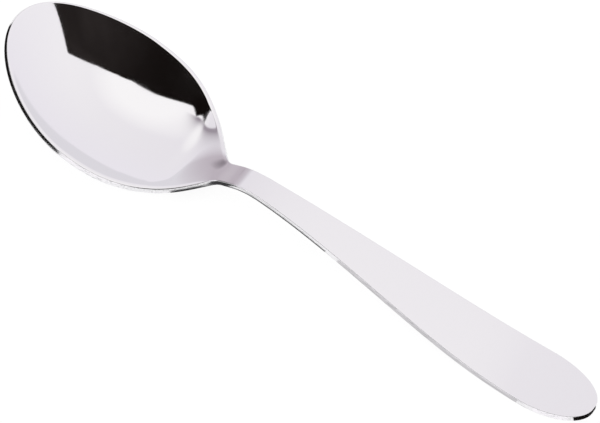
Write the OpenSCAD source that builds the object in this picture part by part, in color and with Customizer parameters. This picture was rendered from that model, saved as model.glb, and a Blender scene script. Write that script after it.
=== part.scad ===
// Teaspoon pressed from one piece of stainless steel sheet.
// It lies as on a table: the bowl's belly and the end of the handle touch z = 0,
// the length runs along X with the bowl on the low side, and Y is the width.

/* [Outline seen from above] */
// Greatest width of the bowl
bowl_w = 33; // [29:0.1:36]
// From the bowl's tip to its widest place
widest_x = 22.8; // [20:0.1:25]
// From the bowl's tip to where its outline has run into the neck
bowl_l = 50.7; // [48:0.1:53]
// Width of the neck at its narrowest
neck_w = 4.95; // [4:0.05:7]
// From the end of the bowl's outline to the narrowest place of the neck
neck_run = 6.2; // [4:0.1:10]
// From the narrowest place of the neck to the handle's end
handle_l = 79.1; // [65:0.1:95]
// Greatest width of the handle
handle_w = 13.1; // [9:0.1:17]
// From the handle's widest place to its end
end_l = 12.2; // [8:0.1:18]

/* [Heights of the upper face, seen from the side] */
// Rim at the tip of the bowl
tip_h = 15.7; // [13:0.1:18]
// Rim between the tip and the widest place
front_h = 11.5; // [10.5:0.1:13]
// Rim at the widest place of the bowl
rim_h = 7.35; // [6.5:0.05:8.5]
// Rim between the widest place and the heel
back_h = 4.95; // [4.2:0.05:6]
// Rim at the heel, at the back of the bowl
heel_h = 4.15; // [3.5:0.05:4.6]
// Foot of the climb from the heel into the neck
foot_h = 5.2; // [4:0.1:6]
// Neck, partway up the climb
climb_h = 7.2; // [6.5:0.05:8]
// Crest of the handle's arch
crest_h = 8.4; // [7.5:0.1:10]
// Handle halfway down from the crest
middle_h = 4.9; // [4:0.1:6]
// How far the handle's end turns up from its lowest place
end_lift = 1.4; // [0.5:0.1:2.5]

/* [Bowl cavity] */
// Depth of the bowl under the rim at the widest place
bowl_depth = 4.55; // [3.5:0.05:6]
// Fullness of the cavity's cross-section: 2 is a parabola, more is flatter with steeper sides
bowl_fullness = 2; // [2:0.05:3]
// Width of the land between the cavity and the outline, at the tip
land_tip = 0.4; // [0.35:0.05:0.8]
// Width of the land at the heel
land_heel = 0.85; // [0.4:0.05:1.5]
// From the end of the bowl's outline back to where the heel starts to fill out
fill_in = 12.5; // [9:0.1:15]
// Length over which the heel fills out
fill_run = 4.75; // [4:0.05:9]
// How far the cavity's end reaches into the bowl from the end of its outline
fade_in = 10.6; // [7:0.1:13]
// How far the cavity's end reaches out along the neck
fade_out = 8.1; // [3:0.1:12]

/* [Sheet] */
// Thickness of the sheet round the bowl
bowl_t = 1.1; // [0.8:0.05:1.6]
// Thickness of the sheet in the handle
sheet_t = 1.55; // [1:0.05:2.2]
// From the end of the bowl's outline back to where the sheet starts to thicken
thicken_in = 12.7; // [5:0.1:16]
// Length over which the sheet thickens
thicken_run = 20; // [12:0.1:30]
// Radius of the polished corners of the cut edge
edge_r = 0.3; // [0.1:0.05:0.35]

/* [Hidden] */

// Shape numbers of the outline: powers of the rounded ends and of the run into the neck
tip_power = 1.73;
tip_root = 2;
heel_power = 2.6;
heel_root = 0.91;
join_power = 2.07;
end_power = 1.8;
end_root = 2.28;
neck_flare = 0.33;
// How much steeper than the rest the cavity's walls stand at the heel
heel_fill = 0.25;

// Places of the side view's heights, between the sizes above
front_share = 0.383;
back_share = 0.471;
heel_share = 0.843;
foot_share = 0.959;
climb_share = 0.298;
crest_share = 0.081;
middle_share = 0.485;
low_share = 0.43;
// Where the land has its full width, along the bowl, and the most it takes of half the outline
land_share = 0.85;
land_limit_share = 0.4;
// The most that the cavity takes of the upper face
cavity_share = 0.96;

neck_x = bowl_l + neck_run;
total_l = neck_x + handle_l;
back_l = bowl_l - widest_x;
foot_x = widest_x + back_l * foot_share;
low_x = total_l - end_l * (1 + low_share);
crest_x = neck_x + (low_x - neck_x) * crest_share;
side_x = [
    0,
    widest_x * front_share,
    widest_x,
    widest_x + back_l * back_share,
    widest_x + back_l * heel_share,
    foot_x,
    foot_x + (crest_x - foot_x) * climb_share,
    crest_x,
    crest_x + (low_x - crest_x) * middle_share,
    low_x,
    total_l
];
side_h = [
    tip_h,
    front_h,
    rim_h,
    back_h,
    heel_h,
    foot_h,
    climb_h,
    crest_h,
    middle_h,
    sheet_t,
    sheet_t + end_lift
];

// Mesh: rings along the length, points across each face
rings = 96;
across = 19;
probe = sheet_t / 100;

// Natural cubic spline through the side view's heights
last = len(side_x) - 1;
gap = [for (i = [0 : last - 1]) side_x[i + 1] - side_x[i]];
slope = [for (i = [0 : last - 1]) (side_h[i + 1] - side_h[i]) / gap[i]];
function down_sweep(i) =
    i == 0 ? [[0, 0]] :
    let (
        done = down_sweep(i - 1),
        pivot = 2 * (gap[i - 1] + gap[i]) - gap[i - 1] * done[i - 1][0]
    )
    concat(done, [[gap[i] / pivot, (6 * (slope[i] - slope[i - 1]) - gap[i - 1] * done[i - 1][1]) / pivot]]);
sweep = down_sweep(last - 1);
function bend(i) = i <= 0 || i >= last ? 0 : sweep[i][1] - sweep[i][0] * bend(i + 1);
bends = [for (i = [0 : last]) bend(i)];
function span_of(x, i = 0) = i >= last - 1 || x < side_x[i + 1] ? i : span_of(x, i + 1);
function face_height(x) =
    let (
        i = span_of(x),
        a = (side_x[i + 1] - x) / gap[i],
        b = (x - side_x[i]) / gap[i]
    )
    a * side_h[i] + b * side_h[i + 1]
        + ((pow(a, 3) - a) * bends[i] + (pow(b, 3) - b) * bends[i + 1]) * pow(gap[i], 2) / 6;

// Half width of the outline at a distance from the tip
function clamp(s) = max(0, min(1, s));
function round_off(s, power, root) = pow(max(0, 1 - pow(clamp(s), power)), 1 / root);
function bowl_half(x) =
    x < widest_x
        ? bowl_w / 2 * round_off((widest_x - x) / widest_x, tip_power, tip_root)
        : bowl_w / 2 * round_off((x - widest_x) / back_l, heel_power, heel_root);
function swell(s) = neck_flare * (pow(s, 3) - 2 * pow(s, 2) + s) + 3 * pow(s, 2) - 2 * pow(s, 3);
function handle_half(x) =
    (neck_w / 2 + (handle_w - neck_w) / 2 * swell(clamp((x - neck_x) / (total_l - end_l - neck_x))))
        * round_off((x - total_l + end_l) / end_l, end_power, end_root)
        * clamp((x - widest_x) / back_l);
function half_width(x) =
    pow(pow(bowl_half(x), join_power) + pow(handle_half(x), join_power), 1 / join_power);

// Depth of the bowl's wall inside an edge: the cavity keeps to its land, the lower face to the outline
function ease(s) = let (c = clamp(s)) pow(c, 3) * (10 - 15 * c + 6 * c * c);
function cavity_fade(x) = 1 - ease((x - bowl_l + fade_in) / (fade_in + fade_out));
function land_at(x) = land_tip + (land_heel - land_tip) * clamp(x / (bowl_l * land_share));
function cavity_half(x) = half_width(x) - min(land_at(x), land_limit_share * half_width(x));
function wall_depth(x, y, edge) =
    let (
        fill = 1 + heel_fill * ease((x - bowl_l + fill_in) / fill_run),
        inside_share = 4 * fill * (edge * edge - y * y) / (bowl_w * bowl_w)
    )
    bowl_depth * cavity_fade(x) * (1 - pow(max(0, 1 - inside_share), bowl_fullness / 2));
function top_height(x, y) = face_height(x) - max(0, wall_depth(x, y, cavity_half(x)));
function under_height(x, y) = face_height(x) - wall_depth(x, y, half_width(x));
function sheet_at(x) = bowl_t + (sheet_t - bowl_t) * ease((x - bowl_l + thicken_in) / thicken_run);

// Directions that stand square to the land, to the bowl's wall and to the outline
function unit(v) = v / norm(v);
function step_start(x) = max(0, min(total_l - probe, x - probe / 2));
function land_normal(x) =
    let (x0 = step_start(x))
    unit([face_height(x0) - face_height(x0 + probe), 0, probe]);
function wall_normal(x, y) =
    let (
        x0 = step_start(x),
        along = (under_height(x0 + probe, y) - under_height(x0, y)) / probe,
        aside = (under_height(x, y + probe / 2) - under_height(x, y - probe / 2)) / probe
    )
    unit([-along, -aside, 1]);
function outline_normal(x) =
    let (x0 = step_start(x))
    unit([half_width(x0) - half_width(x0 + probe), probe, 0]);

// One ring of points: the upper face from -Y to +Y, the +Y edge, the lower face back, the -Y edge
function mirrored(p) = [p[0], -p[1], p[2]];
function round_point(corner, first, second, s) =
    let (middle = unit(first + second))
    corner - edge_r / (middle * first) * middle + edge_r * unit((1 - s) * first + s * second);
function edge_points(x) =
    let (
        y = half_width(x),
        corner = [x, y, face_height(x)],
        up = wall_normal(x, y),
        flat_out = outline_normal(x),
        out = unit(flat_out - (flat_out * up) * up),
        foot = corner - sheet_at(x) * up
    )
    [
        round_point(corner, land_normal(x), out, 1 / 2),
        round_point(corner, land_normal(x), out, 1),
        round_point(foot, out, -up, 0),
        round_point(foot, out, -up, 1 / 2)
    ];
function ring(x) =
    let (
        inset = [x, half_width(x), 0] - edge_r * outline_normal(x),
        inner = min(cavity_half(inset[0]), cavity_share * inset[1]),
        dish = [for (k = [0 : across - 3]) inner * sin(90 * (2 * k / (across - 3) - 1))],
        rows = [for (y = concat([-inset[1]], dish, [inset[1]])) [inset[0], y]],
        upper = [for (p = rows) [p[0], p[1], top_height(p[0], p[1])]],
        lower = [for (p = rows)
            [p[0], p[1], under_height(p[0], p[1])] - sheet_at(p[0]) * wall_normal(p[0], p[1])],
        edge = edge_points(x)
    )
    concat(
        upper,
        edge,
        [for (k = [across - 1 : -1 : 0]) lower[k]],
        [for (k = [len(edge) - 1 : -1 : 0]) mirrored(edge[k])]
    );
function ring_x(i) = total_l * (1 - cos(180 * (i + 1.5) / (rings + 2))) / 2;
ring_points = [for (i = [0 : rings - 1]) ring(ring_x(i))];
spoon_points = [for (r = ring_points) for (p = r) p];

// Faces: bands between the rings and a cap over each end
around = len(ring_points[0]);
corners = (around - 2 * across) / 2;
function at(i, j) = i * around + (j % around);
function band(i) =
    [for (j = [0 : around - 1]) each [
        [at(i, j), at(i + 1, j + 1), at(i + 1, j)],
        [at(i, j), at(i, j + 1), at(i + 1, j + 1)]
    ]];
function fan(i, apex, first, final) =
    [for (j = [first : final - 1]) [at(i, apex), at(i, j + 1), at(i, j)]];
function cap(i) = concat(
    fan(i, around - 1, 0, across),
    [for (k = [0 : corners - 2]) each [
        [at(i, around - 1 - k), at(i, across + k + 1), at(i, across + k)],
        [at(i, around - 1 - k), at(i, around - 2 - k), at(i, across + k + 1)]
    ]],
    fan(i, around - corners, across + corners - 1, around - corners - 1)
);
function flipped(faces) = [for (f = faces) [f[0], f[2], f[1]]];
spoon_faces = concat(
    cap(0),
    [for (i = [0 : rings - 2]) each band(i)],
    flipped(cap(rings - 1))
);

// Laid on the table: turned until the belly and the end of the handle are equally low
function lowest_of(points) =
    let (low = min([for (p = points) p[2]]))
    [for (p = points) if (p[2] == low) p][0];
function turned(points, angle) =
    [for (p = points) [p[0] * cos(angle) + p[2] * sin(angle), p[1], p[2] * cos(angle) - p[0] * sin(angle)]];
function laid(points, rounds = 2) =
    rounds == 0 ? points :
    let (
        belly = lowest_of([for (p = points) if (p[0] < crest_x) p]),
        heel_end = lowest_of([for (p = points) if (p[0] >= crest_x) p])
    )
    laid(turned(points, atan2(heel_end[2] - belly[2], heel_end[0] - belly[0])), rounds - 1);
laid_points = laid(spoon_points);

// The origin lies under the middle of the spoon, on the table
low_z = min([for (p = laid_points) p[2]]);
left_x = min([for (p = laid_points) p[0]]);
right_x = max([for (p = laid_points) p[0]]);

module spoon() {
    color([0.87, 0.86, 0.88])
        translate([-(left_x + right_x) / 2, 0, -low_z])
            polyhedron(points = laid_points, faces = spoon_faces, convexity = 4);
}

spoon();
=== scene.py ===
"""Teaspoon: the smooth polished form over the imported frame, its steel, and a plain pale studio."""
import math

import bpy
import numpy as np
from mathutils import Matrix, Vector


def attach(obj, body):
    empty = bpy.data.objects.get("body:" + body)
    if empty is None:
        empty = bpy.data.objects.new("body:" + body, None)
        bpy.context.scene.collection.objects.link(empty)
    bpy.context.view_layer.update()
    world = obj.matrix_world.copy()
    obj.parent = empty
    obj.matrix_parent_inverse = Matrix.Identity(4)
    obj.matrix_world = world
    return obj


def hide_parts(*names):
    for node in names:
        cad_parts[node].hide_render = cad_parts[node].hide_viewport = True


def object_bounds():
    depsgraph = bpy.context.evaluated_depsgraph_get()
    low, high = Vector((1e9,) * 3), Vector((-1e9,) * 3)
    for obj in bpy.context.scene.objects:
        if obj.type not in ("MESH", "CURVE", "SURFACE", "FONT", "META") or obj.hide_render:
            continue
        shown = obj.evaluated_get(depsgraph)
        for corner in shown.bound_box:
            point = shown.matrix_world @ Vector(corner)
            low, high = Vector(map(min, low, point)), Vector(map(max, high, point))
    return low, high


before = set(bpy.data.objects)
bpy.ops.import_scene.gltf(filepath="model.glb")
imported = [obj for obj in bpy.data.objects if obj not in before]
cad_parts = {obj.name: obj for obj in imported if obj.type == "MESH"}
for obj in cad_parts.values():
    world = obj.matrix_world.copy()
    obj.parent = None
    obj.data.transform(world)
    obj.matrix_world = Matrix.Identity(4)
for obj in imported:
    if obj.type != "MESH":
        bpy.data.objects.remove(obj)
cad_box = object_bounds()

# Sizes of the spoon in millimetres, the same as in its construction
MM = 0.001
BOWL_W = 33.0
WIDEST_X = 22.8
BOWL_L = 50.7
NECK_W = 4.95
NECK_RUN = 6.2
HANDLE_L = 79.1
HANDLE_W = 13.1
END_L = 12.2
TIP_H, FRONT_H, RIM_H, BACK_H, HEEL_H, FOOT_H, CLIMB_H = 15.7, 11.5, 7.35, 4.95, 4.15, 5.2, 7.2
CREST_H, MIDDLE_H, END_LIFT = 8.4, 4.9, 1.4
BOWL_DEPTH = 4.55
BOWL_FULLNESS = 2.0
HEEL_FILL, FILL_IN, FILL_RUN = 0.25, 12.5, 4.75
FADE_IN = 10.6
FADE_OUT = 8.1
LAND_TIP, LAND_HEEL = 0.4, 0.85
SHEET_T = 1.55
BOWL_T = 1.1
THICKEN_IN, THICKEN_RUN = 12.7, 20.0
EDGE_R = 0.3

# Small roundings of the finished surface, in millimetres too
TOP_R, HEEL_R = 0.15, 0.22
HEEL_ROUND_SHARE, NECK_ROUND_RUN = 0.625, 16.0
LAND_SOFT = 0.05

TIP_POWER, TIP_ROOT = 1.73, 2.0
HEEL_POWER, HEEL_ROOT = 2.6, 0.91
JOIN_POWER = 2.07
END_POWER, END_ROOT = 1.8, 2.28
NECK_FLARE = 0.33
FRONT_SHARE, BACK_SHARE, HEEL_SHARE, FOOT_SHARE = 0.383, 0.471, 0.843, 0.959
CLIMB_SHARE, CREST_SHARE, MIDDLE_SHARE, LOW_SHARE = 0.298, 0.081, 0.485, 0.43
LAND_SHARE, LAND_LIMIT_SHARE, CAVITY_SHARE = 0.85, 0.4, 0.96

NECK_X = BOWL_L + NECK_RUN
TOTAL_L = NECK_X + HANDLE_L
BACK_L = BOWL_L - WIDEST_X
FOOT_X = WIDEST_X + BACK_L * FOOT_SHARE
LOW_X = TOTAL_L - END_L * (1 + LOW_SHARE)
CREST_X = NECK_X + (LOW_X - NECK_X) * CREST_SHARE

# Fineness of the mesh: rings along the length, points across a face, steps round an edge's corner,
# points on the land, which crowd towards its inner edge, and the step that finds a slope
RINGS = 480
ACROSS = 91
CORNER_STEPS = 5
LAND_ROWS, LAND_CROWD = 10, 1.5
PROBE = 0.004

# Camera that matches the photograph, which is 600 by 423 pixels
PHOTO_W = 600.0
SENSOR_W = 36.0
VIEW_AZIMUTH = 26.3221
VIEW_ELEVATION = 58.3298
VIEW_ROLL = 9.0497
VIEW_DISTANCE = 616.696
FOCAL_PX = 3138.989
AIM_X, AIM_Y = -1.9748, 4.1759
CLIP_START, CLIP_END = 0.05, 10.0

# Finishes: each noise by its grains to the metre along X, Y and Z, then the span of it that counts and
# the roughness at the span's ends
STEEL_TONE = (0.87, 0.86, 0.88)
SMEARS = {"per_metre": (90, 90, 90), "detail": 4, "distortion": 0.6}
SMEAR_SPAN, SMEAR_ROUGHNESS = (0.35, 0.75), (0.02, 0.085)
SPECKS = {"per_metre": (1500, 1500, 1500), "detail": 2}
SPECK_SPAN, SPECK_ROUGHNESS = (0.74, 0.8), (0, 0.1)
LINES_ALONG = {"per_metre": (250, 9000, 9000), "detail": 2}
LINES_ASLANT = {"per_metre": (5200, 1500, 3000), "detail": 3, "distortion": 1.5}
HAIRLINE_DEPTH, HAIRLINE_STRENGTH = 0.0000012, 0.5
EDGE_DARK = (0.55, 0.55, 0.56)
STREAKS = {"per_metre": (160, 5200, 5200), "detail": 5, "distortion": 0.8}
STREAK_SPAN, STREAK_ROUGH_SPAN, STREAK_ROUGHNESS = (0.34, 0.5), (0.3, 0.7), (0.22, 0.08)
STREAK_DEPTH, STREAK_STRENGTH = 0.00001, 0.6

# Floor, out to 3 m each way: pale grey to the light, and where it is seen a glow that takes a faint shadow
FLOOR_REACH = 3.0
FLOOR_GREY = (0.85, 0.85, 0.85)
FLOOR_SHADED = (0.2, 0.2, 0.2)
FLOOR_GLOW = 0.86

# Cards and strips that only reflections show, in metres and degrees. The dark card stands behind the
# camera: its corners are shares of its distance, along the level and the rising axis of the view
BOWL_MIDDLE_X = -0.04
CARD_REACH = 0.8
CARD_SHARES = [
    (1.13, -1.6), (1.13, 0.24), (1.08, 0.68), (0.55, 0.595), (0.3, 0.59), (0.1, 0.615),
    (-0.1, 0.67), (-0.25, 0.685), (-0.445, 0.7), (-0.485, 0.865), (-0.545, 0.82), (-0.62, 0.74),
    (-0.6, 0.58), (-0.5, 0.38), (-0.28, 0.17), (-0.08, 0.05), (0.28, 0.0), (0.34, -0.5), (0.4, -1.6),
]
CARD_DARK = (0.0055, 0.004, 0.0035)
CARD_PALE = (0.03, 0.025, 0.024)
CARD_CLOUDS = {"per_metre": (2, 2, 2), "detail": 3, "distortion": 0.4}
CLOUD_SPAN, CLOUD_SHARES, CARD_PALE_SPAN = (0.35, 0.65), (0.5, 1), (-0.1, 0.5)

# Low strips round the bowl and the end of the handle, from one turn to another
STRIP_REACH, STRIP_FOOT, STRIP_H, STRIP_STEPS = 0.05, 0.0003, 0.03, 16
STRIP_WHITE = (1.1, 1.08, 1.1)
BLACK_TURN, WHITE_TURN = (-185, -104), (-101, -60)
END_BLACK_X, END_BLACK_REACH, END_BLACK_TURN = 0.0648, 0.0042, (-66, 25)
END_WHITE_X, END_WHITE_REACH, END_WHITE_TURN = 0.0605, 0.0064, (-106, -44)

# Painted shadow on the table beside the near edge: dark and grey glowing bands that only reflections show,
# over stretches in millimetres from the tip. The heel's band fills the lower share of the edge. The others
# reach out from the outline by the height of the face above a cut, times a slope that is steeper towards
# the heel
HEEL_SPAN, NECK_SPAN, HANDLE_SPAN, SHADE_STEPS = (43.6, 51.0), (51.0, 75.0), (78.0, 123.0), 32
HEEL_SHADE_SHARE = 0.25
NECK_SHADE_SLOPE, NECK_SHADE_CUT = 0.53, 1.9
HANDLE_SHADE_SLOPE, HANDLE_SHADE_CUT = 1.06, 0.0
SHADE_SLOPE_HEEL = 1.4
SHADE_DARK = (0.05, 0.05, 0.052)
SHADE_GREY = (0.7, 0.69, 0.7)

# The room by the direction of the reflected ray: a span is a stretch of the ray's part along X or Z, the
# fold's run and edge are of its part along Y over that along -X, and tops, azimuth, elevation and reach
# are in degrees
TENT_DIM = (0.87, 0.845, 0.88)
TENT_BRIGHT = (1.0, 0.985, 0.99)
TENT_LOW = (0.92, 0.895, 0.94)
TENT_TOP = (1.06, 1.05, 1.04)
BRIGHT_X, LOW_Z, TOP_Z = (-0.8, 0.8), (0.75, 0.3), (0.86, 0.96)
FOLD_TONE = (0.36, 0.32, 0.36)
FOLD_RUN, FOLD_EDGE, FOLD_X, FOLD_Z = 0.16, (-0.09, -0.05), (-0.26, -0.36), (0.945, 0.915)
WALL_TONE = (0.8, 0.785, 0.82)
WALL_DIM = (0.56, 0.505, 0.55)
WALL_FOOT = (0.61, 0.56, 0.6)
WALL_TOPS = (18.0, 21.5, 31.0)
WALL_STEP_X, WALL_RISE_X = (-0.27, -0.4), (-0.5, -0.6)
WALL_DIM_X, WALL_FOOT_Z = (-0.6, -0.79), (0.27, 0.19)
WALL_SOFT_X, WALL_SOFTNESS = (-0.46, -0.7), (0.02, 0.12)
SPOT_TONE = (0.24, 0.21, 0.235)
SPOT_AZIMUTH, SPOT_ELEVATION, SPOT_REACH = 155.5, 23.5, 5.6
ROOM_LIGHT = 0.85


# The side view: a natural cubic spline through the heights of the upper face
def side_view():
    places = [
        0,
        WIDEST_X * FRONT_SHARE,
        WIDEST_X,
        WIDEST_X + BACK_L * BACK_SHARE,
        WIDEST_X + BACK_L * HEEL_SHARE,
        FOOT_X,
        FOOT_X + (CREST_X - FOOT_X) * CLIMB_SHARE,
        CREST_X,
        CREST_X + (LOW_X - CREST_X) * MIDDLE_SHARE,
        LOW_X,
        TOTAL_L,
    ]
    heights = [
        TIP_H, FRONT_H, RIM_H, BACK_H, HEEL_H, FOOT_H, CLIMB_H,
        CREST_H, MIDDLE_H, SHEET_T, SHEET_T + END_LIFT,
    ]
    return np.array(places), np.array(heights)


def spline_bends(places, heights):
    gap = np.diff(places)
    slope = np.diff(heights) / gap
    last = len(places) - 1
    rows = np.zeros((last + 1, last + 1))
    right = np.zeros(last + 1)
    rows[0, 0] = rows[last, last] = 1
    for i in range(1, last):
        rows[i, i - 1 : i + 2] = gap[i - 1], 2 * (gap[i - 1] + gap[i]), gap[i]
        right[i] = 6 * (slope[i] - slope[i - 1])
    return np.linalg.solve(rows, right)


SIDE_X, SIDE_H = side_view()
SIDE_BENDS = spline_bends(SIDE_X, SIDE_H)


def face_height(x):
    i = np.clip(np.searchsorted(SIDE_X, x, side="right") - 1, 0, len(SIDE_X) - 2)
    gap = SIDE_X[i + 1] - SIDE_X[i]
    a = (SIDE_X[i + 1] - x) / gap
    b = (x - SIDE_X[i]) / gap
    bent = (a**3 - a) * SIDE_BENDS[i] + (b**3 - b) * SIDE_BENDS[i + 1]
    return a * SIDE_H[i] + b * SIDE_H[i + 1] + bent * gap**2 / 6


# The outline seen from above: half the width at a distance from the tip
def clamp(s):
    return np.clip(s, 0, 1)


def round_off(s, power, root):
    return np.maximum(0, 1 - clamp(s) ** power) ** (1 / root)


def bowl_half(x):
    front = round_off((WIDEST_X - x) / WIDEST_X, TIP_POWER, TIP_ROOT)
    back = round_off((x - WIDEST_X) / BACK_L, HEEL_POWER, HEEL_ROOT)
    return BOWL_W / 2 * np.where(x < WIDEST_X, front, back)


def handle_half(x):
    s = clamp((x - NECK_X) / (HANDLE_L - END_L))
    swell = NECK_FLARE * (s**3 - 2 * s**2 + s) + 3 * s**2 - 2 * s**3
    half = (NECK_W + (HANDLE_W - NECK_W) * swell) / 2
    end = round_off((x - TOTAL_L + END_L) / END_L, END_POWER, END_ROOT)
    return half * end * clamp((x - WIDEST_X) / BACK_L)


def half_width(x):
    return (bowl_half(x) ** JOIN_POWER + handle_half(x) ** JOIN_POWER) ** (1 / JOIN_POWER)


# The cavity, the two faces and their normals
def ease(s):
    s = clamp(s)
    return s**3 * (10 - 15 * s + 6 * s * s)


def cavity_fade(x):
    return 1 - ease((x - BOWL_L + FADE_IN) / (FADE_IN + FADE_OUT))


def cavity_half(x):
    """Half the width of the cavity: a narrow land stays between it and the outline"""
    half = half_width(x)
    land = LAND_TIP + (LAND_HEEL - LAND_TIP) * clamp(x / (BOWL_L * LAND_SHARE))
    return half - np.minimum(land, LAND_LIMIT_SHARE * half)


def wall_depth(x, y, edge):
    fill = 1 + HEEL_FILL * ease((x - BOWL_L + FILL_IN) / FILL_RUN)
    inside = 4 * fill * (edge**2 - y * y) / BOWL_W**2
    return BOWL_DEPTH * cavity_fade(x) * (1 - np.maximum(0, 1 - inside) ** (BOWL_FULLNESS / 2))


def top_height(x, y):
    """The cavity inside its land, with a softly rounded edge between them"""
    depth = wall_depth(x, y, cavity_half(x))
    soft = LAND_SOFT * cavity_fade(x)
    return face_height(x) - (depth + np.sqrt(depth**2 + soft**2)) / 2


def under_height(x, y):
    """The surface that the lower face runs alongside, a sheet's thickness away"""
    return face_height(x) - wall_depth(x, y, half_width(x))


def sheet_at(x):
    return BOWL_T + (SHEET_T - BOWL_T) * ease((x - BOWL_L + THICKEN_IN) / THICKEN_RUN)


def top_radius(x):
    """The upper corner's radius, crisp round the bowl and softer at the heel and the neck"""
    heel = ease((x - WIDEST_X) / (BACK_L * HEEL_ROUND_SHARE))
    heel = heel * (1 - ease((x - NECK_X) / NECK_ROUND_RUN))
    return TOP_R + (HEEL_R - TOP_R) * heel


def unit(v):
    return v / np.linalg.norm(v, axis=-1, keepdims=True)


def along_start(x):
    return np.clip(x - PROBE / 2, 0, TOTAL_L - PROBE)


def normal_of(height, x, y):
    x0 = along_start(x)
    along = (height(x0 + PROBE, y) - height(x0, y)) / PROBE
    aside = (height(x, y + PROBE / 2) - height(x, y - PROBE / 2)) / PROBE
    return unit(np.stack([-along, -aside, np.ones_like(along)], -1))


def outline_normal(x):
    x0 = along_start(x)
    across = np.full_like(x, PROBE)
    return unit(np.stack([half_width(x0) - half_width(x0 + PROBE), across, 0 * x], -1))


def edge_directions(x):
    """The wall's upward normal at the outline, and the edge's outward normal square to it"""
    flat_out = outline_normal(x)
    wall_up = normal_of(under_height, x, half_width(x))
    return wall_up, unit(flat_out - (flat_out * wall_up).sum(-1, keepdims=True) * wall_up)


def fillet(corner, first, second, radius):
    """Points round a corner of the edge, from the face with the normal first to the one with second"""
    middle = unit(first + second)
    centre = corner - radius / (middle * first).sum(-1, keepdims=True) * middle
    shares = np.linspace(0, 1, CORNER_STEPS + 1)
    return [centre + radius * unit((1 - s) * first + s * second) for s in shares]


def rows_of(inset, inner_edge):
    """Places across a face at one inset from the outline, with LAND_ROWS of them beside the inner edge"""
    end = inset[:, 1:2]
    inner = np.minimum(inner_edge[:, None], CAVITY_SHARE * end)
    dish = inner * np.sin(math.pi / 2 * np.linspace(-1, 1, ACROSS - 2 * LAND_ROWS))
    land = inner + (end - inner) * np.linspace(0, 1, LAND_ROWS + 1)[1:] ** LAND_CROWD
    y = np.concatenate([-land[:, ::-1], dish, land], 1)
    return np.repeat(inset[:, :1], ACROSS, 1), y


def ring_points():
    """The closed rings, shape (RINGS, points round a ring, 3): upper face, +Y edge, lower face, -Y edge"""
    turn = math.pi * (np.arange(RINGS) + 1.5) / (RINGS + 2)
    x = TOTAL_L * (1 - np.cos(turn)) / 2
    y = half_width(x)
    flat_out = outline_normal(x)
    outline = np.stack([x, y, 0 * x], -1)
    radius = top_radius(x)[:, None]
    top_x, top_y = rows_of(outline - radius * flat_out, cavity_half(x))
    upper = np.stack([top_x, top_y, top_height(top_x, top_y)], -1)
    low_x, low_y = rows_of(outline - EDGE_R * flat_out, cavity_half(x))
    lower = np.stack([low_x, low_y, under_height(low_x, low_y)], -1)
    lower -= sheet_at(low_x)[..., None] * normal_of(under_height, low_x, low_y)
    land_up = normal_of(lambda x, y: face_height(x), x, y)
    wall_up, out = edge_directions(x)
    corner = np.stack([x, y, face_height(x)], -1)
    foot = corner - sheet_at(x)[:, None] * wall_up
    edge = fillet(corner, land_up, out, radius)[1:] + fillet(foot, out, -wall_up, EDGE_R)[:-1]
    edge = np.stack(edge, 1)
    mirrored = edge[:, ::-1] * np.array([1, -1, 1])
    return np.concatenate([upper, edge, lower[:, ::-1], mirrored], 1)


def laid_down(rings):
    """Turned until the belly and the end of the handle are equally low, with the origin under the middle"""
    points = rings.reshape(-1, 3)
    for _ in range(2):
        front = points[points[:, 0] < CREST_X]
        back = points[points[:, 0] >= CREST_X]
        belly = front[front[:, 2].argmin()]
        end = back[back[:, 2].argmin()]
        a = math.atan2(end[2] - belly[2], end[0] - belly[0])
        turn = np.array([[math.cos(a), 0, -math.sin(a)], [0, 1, 0], [math.sin(a), 0, math.cos(a)]])
        points = points @ turn
    points[:, 0] -= (points[:, 0].min() + points[:, 0].max()) / 2
    points[:, 2] -= points[:, 2].min()
    return points.reshape(rings.shape)


def inside_box(rings):
    """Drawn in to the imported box, which the finer rings would pass by less than 0.1 mm"""
    low, high = (np.array(corner) / MM for corner in cad_box)
    points = rings.reshape(-1, 3)
    aside = np.minimum(low[:2] / points.min(0)[:2], high[:2] / points.max(0)[:2])
    return rings * np.append(aside, high[2] / points[:, 2].max())


def spoon_faces(around):
    """Bands between the rings, with a fan and a few strips over each end"""
    corners = 2 * CORNER_STEPS
    j = np.arange(around)
    faces = []
    for i in range(RINGS - 1):
        a, b = i * around + j, i * around + (j + 1) % around
        faces += np.stack([a, a + around, b + around, b], -1).tolist()
    for i, flip in ((0, False), (RINGS - 1, True)):
        end = [[around - 1, k, k + 1] for k in range(ACROSS)]
        end += [[around - 1 - k, ACROSS + k, ACROSS + k + 1, around - 2 - k] for k in range(corners - 1)]
        low = around - corners
        end += [[low, k, k + 1] for k in range(ACROSS + corners - 1, around - corners - 1)]
        faces += [[i * around + q for q in (f[::-1] if flip else f)] for f in end]
    return faces


def edge_places(around):
    """The places round a ring that lie on the cut edge of either side"""
    steps = 2 * CORNER_STEPS
    return {*range(ACROSS + 1, ACROSS + steps - 1), *range(around - steps + 1, around - 1)}


def make_spoon(steel, edge_steel):
    """The whole spoon as one closed mesh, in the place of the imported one"""
    rings = inside_box(laid_down(ring_points()))
    around = rings.shape[1]
    mesh = bpy.data.meshes.new("spoon_form")
    mesh.from_pydata((rings.reshape(-1, 3) * MM).tolist(), [], spoon_faces(around))
    mesh.materials.append(steel)
    mesh.materials.append(edge_steel)
    edge = edge_places(around)
    for face in mesh.polygons:
        face.use_smooth = True
        face.material_index = int(edge.issuperset(v % around for v in face.vertices))
    mesh.validate()
    spoon = bpy.data.objects.new("spoon_form", mesh)
    bpy.context.scene.collection.objects.link(spoon)
    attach(spoon, "root")
    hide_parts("spoon")


# Materials
def node(tree, kind, **settings):
    made = tree.nodes.new(kind)
    for name, value in settings.items():
        setattr(made, name, value)
    return made


def set_inputs(made, **values):
    for name, value in values.items():
        made.inputs[name.replace("_", " ")].default_value = value
    return made


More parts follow.
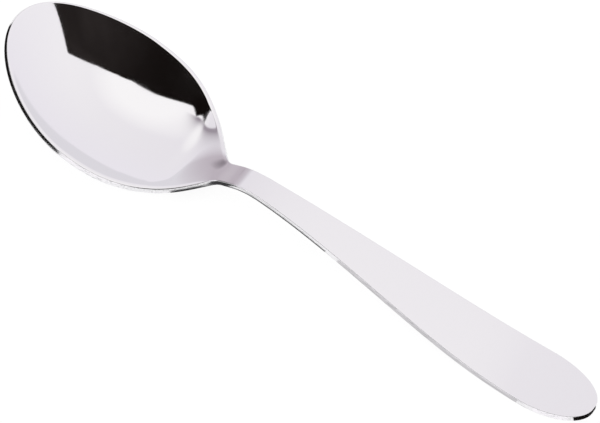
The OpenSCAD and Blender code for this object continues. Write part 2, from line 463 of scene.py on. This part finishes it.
def noise(tree, per_metre, detail, distortion=0.0):
    """Noise in the object's own space, with a number of grains to the metre along X, Y and Z"""
    place = node(tree, "ShaderNodeTexCoord")
    stretch = node(tree, "ShaderNodeVectorMath", operation="MULTIPLY")
    stretch.inputs[1].default_value = per_metre
    made = set_inputs(node(tree, "ShaderNodeTexNoise"), Scale=1.0, Detail=detail, Distortion=distortion)
    tree.links.new(place.outputs["Object"], stretch.inputs[0])
    tree.links.new(stretch.outputs[0], made.inputs["Vector"])
    return made.outputs["Fac"]


def ramp(tree, value, span, ends=(0, 1)):
    """From one end to the other while the value goes through the span, and level outside it"""
    made = node(tree, "ShaderNodeMapRange")
    set_inputs(made, From_Min=span[0], From_Max=span[1], To_Min=ends[0], To_Max=ends[1])
    tree.links.new(value, made.inputs["Value"])
    return made.outputs["Result"]


def math_of(tree, operation, first, second):
    made = node(tree, "ShaderNodeMath", operation=operation)
    for socket, value in zip(made.inputs, (first, second)):
        if isinstance(value, (int, float)):
            socket.default_value = value
        else:
            tree.links.new(value, socket)
    return made.outputs[0]


def mixed(tree, factor, first, second):
    """The colour between two others, each a colour or a socket"""
    mix = node(tree, "ShaderNodeMix", data_type="RGBA")
    for socket, value in ((mix.inputs["A"], first), (mix.inputs["B"], second)):
        if isinstance(value, tuple):
            socket.default_value = (*value, 1)
        else:
            tree.links.new(value, socket)
    tree.links.new(factor, mix.inputs["Factor"])
    return mix.outputs["Result"]


def split_place(tree, space):
    """A place or direction in the object's space or the world's, whole and as its X, Y and Z"""
    place = node(tree, "ShaderNodeTexCoord").outputs[space]
    split = node(tree, "ShaderNodeSeparateXYZ")
    tree.links.new(place, split.inputs[0])
    return place, *(split.outputs[axis] for axis in "XYZ")


def bumped(tree, shader, height, distance, strength):
    bump = node(tree, "ShaderNodeBump")
    set_inputs(bump, Strength=strength, Distance=distance)
    tree.links.new(height, bump.inputs["Height"])
    tree.links.new(bump.outputs["Normal"], shader.inputs["Normal"])


def metal(name, tone):
    material = bpy.data.materials.new(name)
    material.use_nodes = True
    tree = material.node_tree
    shader = tree.nodes["Principled BSDF"]
    set_inputs(shader, Base_Color=(*tone, 1), Metallic=1.0)
    return material, tree, shader


def polished_steel():
    """Mirror polish with faint smears, hairline use marks and a few specks"""
    material, tree, shader = metal("polished_steel", STEEL_TONE)
    smears = ramp(tree, noise(tree, **SMEARS), SMEAR_SPAN, SMEAR_ROUGHNESS)
    specks = ramp(tree, noise(tree, **SPECKS), SPECK_SPAN, SPECK_ROUGHNESS)
    tree.links.new(math_of(tree, "ADD", smears, specks), shader.inputs["Roughness"])
    lines = math_of(tree, "ADD", noise(tree, **LINES_ALONG), noise(tree, **LINES_ASLANT))
    bumped(tree, shader, lines, HAIRLINE_DEPTH, HAIRLINE_STRENGTH)
    return material


def cut_edge():
    """The rim as the shears left it and the polishing wheel softened it: streaks along the edge"""
    material, tree, shader = metal("cut_edge", STEEL_TONE)
    streaks = noise(tree, **STREAKS)
    tone = mixed(tree, ramp(tree, streaks, STREAK_SPAN), EDGE_DARK, STEEL_TONE)
    rough = ramp(tree, streaks, STREAK_ROUGH_SPAN, STREAK_ROUGHNESS)
    tree.links.new(tone, shader.inputs["Base Color"])
    tree.links.new(rough, shader.inputs["Roughness"])
    bumped(tree, shader, streaks, STREAK_DEPTH, STREAK_STRENGTH)
    return material


# Studio
def glowing(name, tone):
    """A material of one even tone, with its tree and its glow for what varies it"""
    material = bpy.data.materials.new(name)
    material.use_nodes = True
    tree = material.node_tree
    tree.nodes.clear()
    glow = set_inputs(node(tree, "ShaderNodeEmission"), Color=(*tone, 1))
    out = node(tree, "ShaderNodeOutputMaterial")
    tree.links.new(glow.outputs[0], out.inputs["Surface"])
    return material, tree, glow


def unlit_side():
    """The card's dark tone, with paler clouds towards +X"""
    material, tree, glow = glowing("dark_card", CARD_DARK)
    _, x, _, _ = split_place(tree, "Object")
    cloud = ramp(tree, noise(tree, **CARD_CLOUDS), CLOUD_SPAN, CLOUD_SHARES)
    share = math_of(tree, "MULTIPLY", cloud, ramp(tree, x, CARD_PALE_SPAN))
    tree.links.new(mixed(tree, share, CARD_DARK, CARD_PALE), glow.inputs["Color"])
    return material


def stage_mesh(name, corners, faces, material):
    mesh = bpy.data.meshes.new(name)
    mesh.from_pydata(corners, [], faces)
    mesh.materials.append(material)
    made = bpy.data.objects.new(name, mesh)
    bpy.context.scene.collection.objects.link(made)
    return made


def reflected_only(card):
    card.visible_camera = False
    card.visible_diffuse = False
    card.visible_shadow = False
    card.visible_transmission = False
    card.visible_volume_scatter = False


def reflected_band(name, first, second, tone):
    """A band between two lines of points, which only reflections show"""
    corners = np.stack([first, second], 1).reshape(-1, 3).tolist()
    faces = [(2 * i, 2 * i + 2, 2 * i + 3, 2 * i + 1) for i in range(len(first) - 1)]
    material, _, _ = glowing(name, tone)
    reflected_only(stage_mesh(name, corners, faces, material))


def camera_axes():
    """Right, up and back of the picture, then its level axis and the one that rises square to it"""
    a, e, r = (math.radians(v) for v in (VIEW_AZIMUTH, VIEW_ELEVATION, VIEW_ROLL))
    back = Vector((math.sin(a) * math.cos(e), -math.cos(a) * math.cos(e), math.sin(e)))
    level = Vector((math.cos(a), math.sin(a), 0))
    rise = back.cross(level)
    right = level * math.cos(r) + rise * math.sin(r)
    up = rise * math.cos(r) - level * math.sin(r)
    return right, up, back, level, rise


def camera_place():
    """In millimetres from the origin"""
    _, _, back, _, _ = camera_axes()
    return Vector((AIM_X, AIM_Y, 0)) + back * VIEW_DISTANCE


def make_camera():
    right, up, back, _, _ = camera_axes()
    data = bpy.data.cameras.new("camera")
    data.sensor_fit = "HORIZONTAL"
    data.sensor_width = SENSOR_W
    data.lens = FOCAL_PX / PHOTO_W * SENSOR_W
    data.clip_start = CLIP_START
    data.clip_end = CLIP_END
    camera = bpy.data.objects.new("camera", data)
    bpy.context.scene.collection.objects.link(camera)
    turn = Matrix((right, up, back)).transposed().to_4x4()
    camera.matrix_world = Matrix.Translation(camera_place() * MM) @ turn
    bpy.context.scene.camera = camera


def dark_card():
    """The unlit side of the room behind the camera, as the bowl's far wall shows it"""
    _, _, back, level, rise = camera_axes()
    centre = Vector((BOWL_MIDDLE_X, 0, 0))
    corners = [centre + (back + level * u + rise * v) * CARD_REACH for u, v in CARD_SHARES]
    reflected_only(stage_mesh("dark_card", corners, [tuple(range(len(corners)))], unlit_side()))


def low_strip(name, middle_x, foot_reach, turn, tone):
    """A strip that rises outwards beside the spoon, from one turn to another, for the near edge to show"""
    turns = np.radians(np.linspace(*turn, STRIP_STEPS + 1))
    around = np.stack([np.cos(turns), np.sin(turns), 0 * turns], -1)
    foot = around * foot_reach + (middle_x, 0, STRIP_FOOT)
    top = around * STRIP_REACH + (middle_x, 0, STRIP_H)
    reflected_band(name, foot, top, tone)


def shade_line(x, slope, cut):
    """A line on the table whose distance from the outline grows with the height of the face"""
    slope = slope + SHADE_SLOPE_HEEL * cavity_fade(x) ** 2
    reach = slope * (face_height(x) - cut)
    return (np.stack([x, half_width(x), 0 * x], -1) + reach[:, None] * outline_normal(x)) * (1, -1, 0)


def table_seen(x, share):
    """The line on the table that the near edge shows to the camera at a share of its height"""
    wall_up, out = edge_directions(x)
    place = np.stack([x, half_width(x), face_height(x)], -1) - (1 - share) * sheet_at(x)[:, None] * wall_up
    place, out = place * (1, -1, 1), out * (1, -1, 1)
    view = unit(place - np.array(camera_place()) - (TOTAL_L / 2, 0, 0))
    ray = view - 2 * (view * out).sum(-1, keepdims=True) * out
    return place - ray * place[:, 2:] / ray[:, 2:]


def table_shade(name, x, line, tone):
    """Painted shadow on the table beside the near edge, as far as a line, from under the outline to under
    the middle
    """
    inner = np.stack([x, -half_width(x) * np.linspace(1, 0, len(x)), 0 * x], -1)
    line, inner = ((side - (TOTAL_L / 2, 0, 0)) * MM + (0, 0, STRIP_FOOT) for side in (line, inner))
    reflected_band(name, line, inner, tone)


def table_shades():
    """Painted shadow on the table: the near edge's dark lower line at heel and neck, and its grey at the
    handle
    """
    spans = (HEEL_SPAN, NECK_SPAN, HANDLE_SPAN)
    heel, neck, handle = (np.linspace(*span, SHADE_STEPS + 1) for span in spans)
    neck_line = shade_line(neck, NECK_SHADE_SLOPE, NECK_SHADE_CUT)
    handle_line = shade_line(handle, HANDLE_SHADE_SLOPE, HANDLE_SHADE_CUT)
    table_shade("heel_shade", heel, table_seen(heel, HEEL_SHADE_SHARE), SHADE_DARK)
    table_shade("neck_shade", neck, neck_line, SHADE_DARK)
    table_shade("handle_shade", handle, handle_line, SHADE_GREY)


def make_floor():
    """White with the spoon's soft shadow where it is seen, and a plain pale table to the light"""
    material = bpy.data.materials.new("floor")
    material.use_nodes = True
    tree = material.node_tree
    tree.nodes.clear()
    out = node(tree, "ShaderNodeOutputMaterial")
    pale = set_inputs(node(tree, "ShaderNodeBsdfDiffuse"), Color=(*FLOOR_GREY, 1))
    lit = set_inputs(node(tree, "ShaderNodeBsdfDiffuse"), Color=(*FLOOR_SHADED, 1))
    white = set_inputs(node(tree, "ShaderNodeEmission"), Strength=FLOOR_GLOW)
    seen = node(tree, "ShaderNodeAddShader")
    tree.links.new(lit.outputs[0], seen.inputs[0])
    tree.links.new(white.outputs[0], seen.inputs[1])
    mix = node(tree, "ShaderNodeMixShader")
    tree.links.new(shows_white(tree), mix.inputs[0])
    tree.links.new(pale.outputs[0], mix.inputs[1])
    tree.links.new(seen.outputs[0], mix.inputs[2])
    tree.links.new(mix.outputs[0], out.inputs["Surface"])
    corners = [(x * FLOOR_REACH, y * FLOOR_REACH, 0) for x, y in ((-1, -1), (1, -1), (1, 1), (-1, 1))]
    stage_mesh("floor", corners, [(0, 1, 2, 3)], material)


def shows_white(tree):
    """1 for rays that show the background: from the camera, in a reflection or through glass"""
    path = node(tree, "ShaderNodeLightPath")
    glossy = math_of(tree, "MAXIMUM", path.outputs["Is Camera Ray"], path.outputs["Is Glossy Ray"])
    return math_of(tree, "MAXIMUM", glossy, path.outputs["Is Transmission Ray"])


def room_seen(tree):
    """What the steel reflects: a bright tent above a grey wall, by the direction of the reflected ray"""
    direction, x, y, z = split_place(tree, "Generated")
    tent = mixed(tree, ramp(tree, x, BRIGHT_X), TENT_DIM, TENT_BRIGHT)
    tent = mixed(tree, ramp(tree, z, LOW_Z), tent, TENT_LOW)
    tent = mixed(tree, ramp(tree, z, TOP_Z), tent, TENT_TOP)
    tent = mixed(tree, fold_share(tree, x, y, z), tent, FOLD_TONE)
    dim = mixed(tree, ramp(tree, z, WALL_FOOT_Z), WALL_DIM, WALL_FOOT)
    wall = mixed(tree, ramp(tree, x, WALL_DIM_X), WALL_TONE, dim)
    wall = mixed(tree, spot_share(tree, direction), wall, SPOT_TONE)
    low, middle, high = (math.sin(math.radians(v)) for v in WALL_TOPS)
    step = ramp(tree, x, WALL_STEP_X, (low, middle))
    top = math_of(tree, "ADD", step, ramp(tree, x, WALL_RISE_X, (0, high - middle)))
    over = math_of(tree, "SUBTRACT", z, top)
    soft = ramp(tree, x, WALL_SOFT_X, WALL_SOFTNESS)
    return mixed(tree, ramp(tree, math_of(tree, "DIVIDE", over, soft), (0, 1)), wall, tent)


def spot_share(tree, direction):
    """A darker place on the wall, full in its middle and gone SPOT_REACH degrees away"""
    a, e, reach = (math.radians(v) for v in (SPOT_AZIMUTH, SPOT_ELEVATION, SPOT_REACH))
    aim = node(tree, "ShaderNodeVectorMath", operation="DOT_PRODUCT")
    aim.inputs[1].default_value = (math.cos(a) * math.cos(e), math.sin(a) * math.cos(e), math.sin(e))
    tree.links.new(direction, aim.inputs[0])
    return ramp(tree, aim.outputs["Value"], (math.cos(reach), 1))


def fold_share(tree, x, y, z):
    """A fold in the tent beyond the bowl's tip: dark at its edge, fading out towards +Y"""
    aside = math_of(tree, "DIVIDE", y, math_of(tree, "MULTIPLY", x, -1.0))
    share = math_of(tree, "POWER", math.exp(-1 / FOLD_RUN), aside)
    share = math_of(tree, "MINIMUM", share, 1.0)
    for value, span in ((aside, FOLD_EDGE), (x, FOLD_X), (z, FOLD_Z)):
        share = math_of(tree, "MULTIPLY", share, ramp(tree, value, span))
    return share


def make_world():
    """White to the camera, the room to reflections, and plain soft light on everything else"""
    world = bpy.data.worlds.new("studio")
    world.use_nodes = True
    bpy.context.scene.world = world
    tree = world.node_tree
    tree.nodes.clear()
    out = node(tree, "ShaderNodeOutputWorld")
    light = set_inputs(node(tree, "ShaderNodeBackground"), Color=(1, 1, 1, 1), Strength=ROOM_LIGHT)
    backdrop = node(tree, "ShaderNodeBackground")
    path = node(tree, "ShaderNodeLightPath")
    shown = mixed(tree, path.outputs["Is Camera Ray"], room_seen(tree), (1, 1, 1))
    tree.links.new(shown, backdrop.inputs["Color"])
    mix = node(tree, "ShaderNodeMixShader")
    tree.links.new(shows_white(tree), mix.inputs[0])
    tree.links.new(light.outputs[0], mix.inputs[1])
    tree.links.new(backdrop.outputs[0], mix.inputs[2])
    tree.links.new(mix.outputs[0], out.inputs["Surface"])


bpy.context.scene.view_settings.view_transform = "Standard"
make_camera()
make_spoon(polished_steel(), cut_edge())
make_floor()
dark_card()
low_strip("black_strip", BOWL_MIDDLE_X, STRIP_REACH, BLACK_TURN, CARD_DARK)
low_strip("white_strip", BOWL_MIDDLE_X, STRIP_REACH, WHITE_TURN, STRIP_WHITE)
low_strip("end_black", END_BLACK_X, END_BLACK_REACH, END_BLACK_TURN, CARD_DARK)
low_strip("end_white", END_WHITE_X, END_WHITE_REACH, END_WHITE_TURN, STRIP_WHITE)
table_shades()
make_world()
